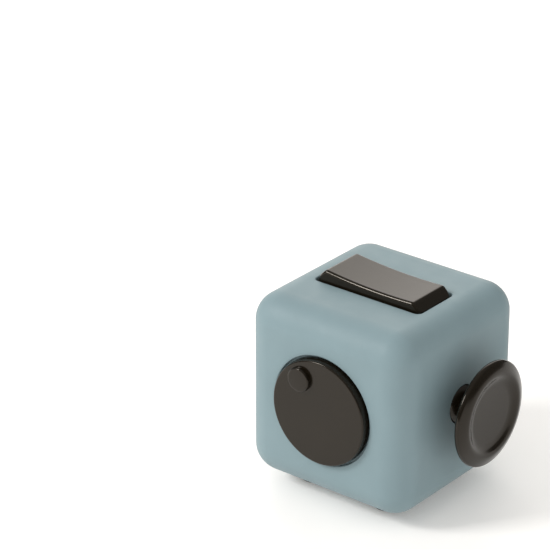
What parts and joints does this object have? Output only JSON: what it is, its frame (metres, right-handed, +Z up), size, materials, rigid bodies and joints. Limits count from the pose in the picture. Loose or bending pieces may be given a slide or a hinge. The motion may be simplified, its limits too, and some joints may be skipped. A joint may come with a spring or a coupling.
{
  "type": "fidget cube",
  "caption": "Palm-sized cube with a fidget control on each face: buttons, rocker switch, dial, joystick, thumb gears with a click ball, and a smooth dished panel.",
  "frame": {"origin": "on the rest plane, at the end of the middle push button, straight below the middle of the cube", "axes": "+Z up out of the rocker switch's face; +X out of the joystick's face; -Y out of the dial's face, so +Y is the gears and the ball; -X is the dished thumb panel; -Z is the face with the five buttons it stands on"},
  "size_m": [0.0394, 0.0385, 0.0371],
  "materials": {
    "shell": "soft-touch satin, dusty blue",
    "controls": "satin moulded, warm black",
    "inner_parts": "plain moulded, dark grey",
    "ball": "polished steel",
    "springs": "bright drawn wire and strip",
    "screws": "zinc plated"
  },
  "bodies": {
    "shell": {"body_shell": "shell", "thumb_panel": "shell", "chassis": "inner_parts", "chassis_screw_front_left": "screws", "chassis_screw_front_right": "screws", "chassis_screw_back_left": "screws", "chassis_screw_back_right": "screws", "rocker_pin": "screws", "rocker_cradle": "inner_parts", "rocker_detent_spring": "springs", "rocker_cradle_screw_left": "screws", "rocker_cradle_screw_right": "screws", "dial_detent_spring": "springs", "joystick_retainer": "inner_parts", "joystick_screw_lower_front": "screws", "joystick_screw_lower_back": "screws", "joystick_screw_upper_front": "screws", "joystick_screw_upper_back": "screws", "gear_axle": "screws", "gear_bracket": "inner_parts", "gear_detent_spring": "springs", "gear_bracket_screw_left": "screws", "gear_bracket_screw_right": "screws"},
    "button_middle": {"button_middle": "controls", "button_spring_middle": "springs"},
    "button_front_left": {"button_front_left": "controls", "button_spring_front_left": "springs"},
    "button_front_right": {"button_front_right": "controls", "button_spring_front_right": "springs"},
    "button_back_left": {"button_back_left": "controls", "button_spring_back_left": "springs"},
    "button_back_right": {"button_back_right": "controls", "button_spring_back_right": "springs"},
    "rocker": {"rocker": "controls"},
    "dial": {"dial": "controls", "dial_hub": "inner_parts", "dial_washer": "screws", "dial_screw": "screws"},
    "joystick_spring": {"joystick_spring": "springs"},
    "joystick": {"joystick": "controls"},
    "gear_left": {"gear_left": "controls"},
    "gear_middle": {"gear_middle": "controls"},
    "gear_right": {"gear_right": "controls"},
    "ball_cup": {"ball_cup": "inner_parts", "ball_spring": "springs"},
    "click_ball": {"click_ball": "ball"}
  },
  "joints": [
    {"name": "press_middle", "type": "slide", "parent": "shell", "child": "button_middle", "axis": [0, 0, 1], "range_m": [0, 0.0014], "stiffness_N_per_m": 700, "deforming": ["button_spring_middle"]},
    {"name": "press_front_left", "type": "slide", "parent": "shell", "child": "button_front_left", "axis": [0, 0, 1], "range_m": [0, 0.0014], "stiffness_N_per_m": 700, "deforming": ["button_spring_front_left"]},
    {"name": "press_front_right", "type": "slide", "parent": "shell", "child": "button_front_right", "axis": [0, 0, 1], "range_m": [0, 0.0014], "stiffness_N_per_m": 700, "deforming": ["button_spring_front_right"]},
    {"name": "press_back_left", "type": "slide", "parent": "shell", "child": "button_back_left", "axis": [0, 0, 1], "range_m": [0, 0.0014], "stiffness_N_per_m": 700, "deforming": ["button_spring_back_left"]},
    {"name": "press_back_right", "type": "slide", "parent": "shell", "child": "button_back_right", "axis": [0, 0, 1], "range_m": [0, 0.0014], "stiffness_N_per_m": 700, "deforming": ["button_spring_back_right"]},
    {"name": "rocker_tilt", "type": "hinge", "parent": "shell", "child": "rocker", "pos_m": [0, 0, 0.0315], "axis": [0, 1, 0], "range_deg": [-4.14, 0]},
    {"name": "dial_spin", "type": "hinge", "parent": "shell", "child": "dial", "pos_m": [0, -0.0165, 0.0185], "axis": [0, 1, 0], "continuous": true},
    {"name": "joystick_tilt_up_down", "type": "hinge", "parent": "shell", "child": "joystick_spring", "pos_m": [0.0143, 0, 0.0185], "axis": [0, 1, 0], "range_deg": [-14, 14], "stiffness_Nm_per_rad": 0.02, "deforming": ["joystick_spring"]},
    {"name": "joystick_tilt_sideways", "type": "hinge", "parent": "joystick_spring", "child": "joystick", "pos_m": [0.0143, 0, 0.0185], "axis": [0, 0, 1], "range_deg": [-14, 14], "stiffness_Nm_per_rad": 0.02},
    {"name": "gear_spin_left", "type": "hinge", "parent": "shell", "child": "gear_left", "pos_m": [-0.00685, 0.0116, 0.02365], "axis": [1, 0, 0], "continuous": true},
    {"name": "gear_spin_middle", "type": "hinge", "parent": "shell", "child": "gear_middle", "pos_m": [0, 0.0116, 0.02365], "axis": [1, 0, 0], "continuous": true},
    {"name": "gear_spin_right", "type": "hinge", "parent": "shell", "child": "gear_right", "pos_m": [0.00685, 0.0116, 0.02365], "axis": [1, 0, 0], "continuous": true},
    {"name": "ball_press", "type": "slide", "parent": "shell", "child": "ball_cup", "axis": [0, -1, 0], "range_m": [0, 0.0012], "stiffness_N_per_m": 600, "deforming": ["ball_spring"]},
    {"name": "ball_roll", "type": "hinge", "parent": "ball_cup", "child": "click_ball", "pos_m": [0, 0.01463, 0.01125], "axis": [1, 0, 0], "continuous": true}
  ]
}
